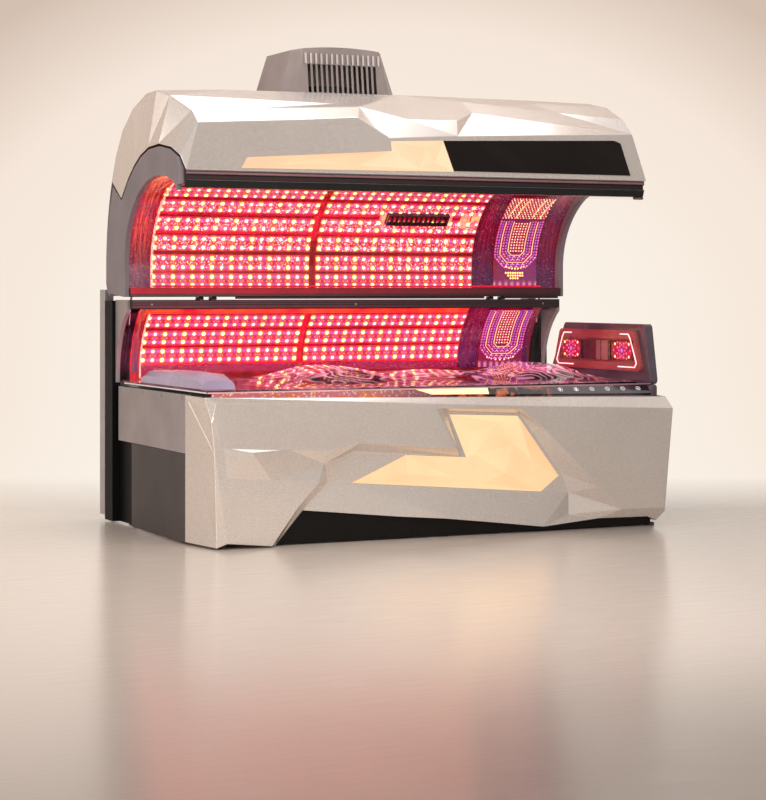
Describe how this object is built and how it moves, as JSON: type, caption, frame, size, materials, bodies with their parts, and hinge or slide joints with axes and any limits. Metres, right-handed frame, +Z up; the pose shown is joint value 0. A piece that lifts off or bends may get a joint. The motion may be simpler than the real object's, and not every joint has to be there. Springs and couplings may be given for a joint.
{
  "type": "clamshell tanning bed",
  "caption": "Clamshell tanning bed: faceted base with a clear lamp bench and lamp wall, hinged lamp canopy on gas springs, head-end shoulder tanner and roof exhaust duct.",
  "frame": {"origin": "on the floor, under the middle of the outer box", "axes": "+X along the bed towards the head end, +Y towards the back, +Z up"},
  "size_m": [2.335, 1.422, 2.234],
  "materials": {
    "aluminium_case": "mill finish",
    "black_column": "matt black powder coat",
    "black_glass": "black glossy panel",
    "black_plastic": "glass-filled nylon",
    "champagne_shell": "satin metallic champagne lacquer",
    "clear_acrylic": "clear acrylic",
    "dark_casing": "fine-grained dark moulding",
    "dark_rail": "dark anodised extrusion",
    "dark_steel": "powder-coated steel",
    "dark_upper_panel": "matt black powder coat",
    "duct_grey": "satin grey moulding",
    "face_boards": "red and violet LED board",
    "foot_rubber": "moulded rubber",
    "graphite_panel": "textured graphite powder coat",
    "grey_moulding": "soft-touch grey moulding",
    "key_caps": "satin silver key cap",
    "lamp_boards": "red circuit board with LEDs",
    "lamp_reflector": "mirror-finished reflector sheet",
    "light_grey_cover": "satin grey powder coat",
    "lit_diffuser": "back-lit warm diffuser",
    "plinth_grey": "matt moulded plastic",
    "polished_rod": "hard chrome",
    "red_diffuser": "translucent red glazing",
    "zinc_screws": "zinc plated"
  },
  "bodies": {
    "base": {"back_cover": "dark_steel", "base_fan_housings": "black_plastic", "base_frame": "dark_steel", "bench_lamp_tray": "lamp_reflector", "bench_led_modules": "lamp_boards", "column_covers": "light_grey_cover", "control_strip": "black_glass", "floor_pan": "dark_steel", "front_casing": "champagne_shell", "front_light_panel": "lit_diffuser", "hinge_pins": "zinc_screws", "lamp_driver_bank": "aluminium_case", "left_column": "black_column", "left_lower_panel": "graphite_panel", "left_upper_panel": "dark_upper_panel", "levelling_feet": "foot_rubber", "middle_rail": "dark_rail", "panel_screws": "zinc_screws", "plinth": "plinth_grey", "power_inlet": "black_plastic", "right_column": "black_column", "right_lower_panel": "graphite_panel", "right_upper_panel": "dark_upper_panel", "shoulder_face": "red_diffuser", "shoulder_lamps": "face_boards", "shoulder_shell": "dark_casing", "wall_acrylic": "clear_acrylic", "wall_end_plates": "dark_upper_panel", "wall_face_panel": "face_boards", "wall_led_modules": "lamp_boards", "wall_reflector": "lamp_reflector"},
    "canopy": {"canopy_shell": "champagne_shell", "canopy_back_cover": "light_grey_cover", "canopy_left_cap": "dark_casing", "canopy_right_cap": "dark_casing", "canopy_frame": "dark_steel", "canopy_reflector": "lamp_reflector", "canopy_led_modules": "lamp_boards", "canopy_face_panel": "face_boards", "canopy_acrylic": "clear_acrylic", "canopy_light_panel": "lit_diffuser", "display_panel": "black_glass", "canopy_front_rail": "dark_rail", "canopy_bottom_rail": "dark_rail", "air_outlet": "black_plastic", "exhaust_duct": "duct_grey", "exhaust_fan_housing": "black_plastic"},
    "bench": {"bench_acrylic": "clear_acrylic", "bench_frame": "dark_rail", "foot_rest": "grey_moulding"},
    "exhaust_fan_rotor": {"exhaust_fan_rotor": "black_plastic"},
    "left_fan_rotor": {"left_fan_rotor": "black_plastic"},
    "right_fan_rotor": {"right_fan_rotor": "black_plastic"},
    "left_spring_cylinder": {"left_spring_cylinder": "black_column"},
    "right_spring_cylinder": {"right_spring_cylinder": "black_column"},
    "left_spring_rod": {"left_spring_rod": "polished_rod"},
    "right_spring_rod": {"right_spring_rod": "polished_rod"},
    "start_key": {"start_key": "key_caps"},
    "stop_key": {"stop_key": "key_caps"},
    "fan_key": {"fan_key": "key_caps"}
  },
  "joints": [
    {"name": "canopy_hinge", "type": "hinge", "parent": "base", "child": "canopy", "pos_m": [0, 0.318, 1.051], "axis": [-1, 0, 0], "range_deg": [-40, 0]},
    {"name": "bench_hinge", "type": "hinge", "parent": "base", "child": "bench", "pos_m": [0, 0.471, 0.652], "axis": [-1, 0, 0], "range_deg": [0, 30]},
    {"name": "exhaust_fan_spin", "type": "hinge", "parent": "canopy", "child": "exhaust_fan_rotor", "pos_m": [-0.158, 0.332, 2.034], "axis": [0, 0, 1], "continuous": true},
    {"name": "left_fan_spin", "type": "hinge", "parent": "base", "child": "left_fan_rotor", "pos_m": [-0.32, 0.58, 0.266], "axis": [0, 1, 0], "continuous": true},
    {"name": "right_fan_spin", "type": "hinge", "parent": "base", "child": "right_fan_rotor", "pos_m": [0.32, 0.58, 0.266], "axis": [0, 1, 0], "continuous": true},
    {"name": "left_spring_tilt", "type": "hinge", "parent": "base", "child": "left_spring_cylinder", "pos_m": [-1.09, 0.56, 0.62], "axis": [-1, 0, 0], "range_deg": [-3.62, 0.2]},
    {"name": "left_spring_slide", "type": "slide", "parent": "left_spring_cylinder", "child": "left_spring_rod", "axis": [0, -0.2474, 0.9689], "range_m": [-0.001, 0.0878]},
    {"name": "right_spring_tilt", "type": "hinge", "parent": "base", "child": "right_spring_cylinder", "pos_m": [1.09, 0.56, 0.62], "axis": [-1, 0, 0], "range_deg": [-3.62, 0.2]},
    {"name": "right_spring_slide", "type": "slide", "parent": "right_spring_cylinder", "child": "right_spring_rod", "axis": [0, -0.2474, 0.9689], "range_m": [-0.001, 0.0878]},
    {"name": "start_key_press", "type": "slide", "parent": "base", "child": "start_key", "axis": [0, 0.6442, -0.7648], "range_m": [0, 0.0015], "stiffness_N_per_m": 400, "springref_m": -0.0015},
    {"name": "stop_key_press", "type": "slide", "parent": "base", "child": "stop_key", "axis": [0, 0.6392, -0.7691], "range_m": [0, 0.0015], "stiffness_N_per_m": 400, "springref_m": -0.0015},
    {"name": "fan_key_press", "type": "slide", "parent": "base", "child": "fan_key", "axis": [0, 0.6344, -0.773], "range_m": [0, 0.0015], "stiffness_N_per_m": 400, "springref_m": -0.0015}
  ],
  "couplings": [
    {"joint": "left_spring_tilt", "follows": "canopy_hinge", "ratio": 0.078},
    {"joint": "left_spring_slide", "follows": "canopy_hinge", "m_per_rad": -0.12},
    {"joint": "right_spring_tilt", "follows": "canopy_hinge", "ratio": 0.078},
    {"joint": "right_spring_slide", "follows": "canopy_hinge", "m_per_rad": -0.12}
  ]
}
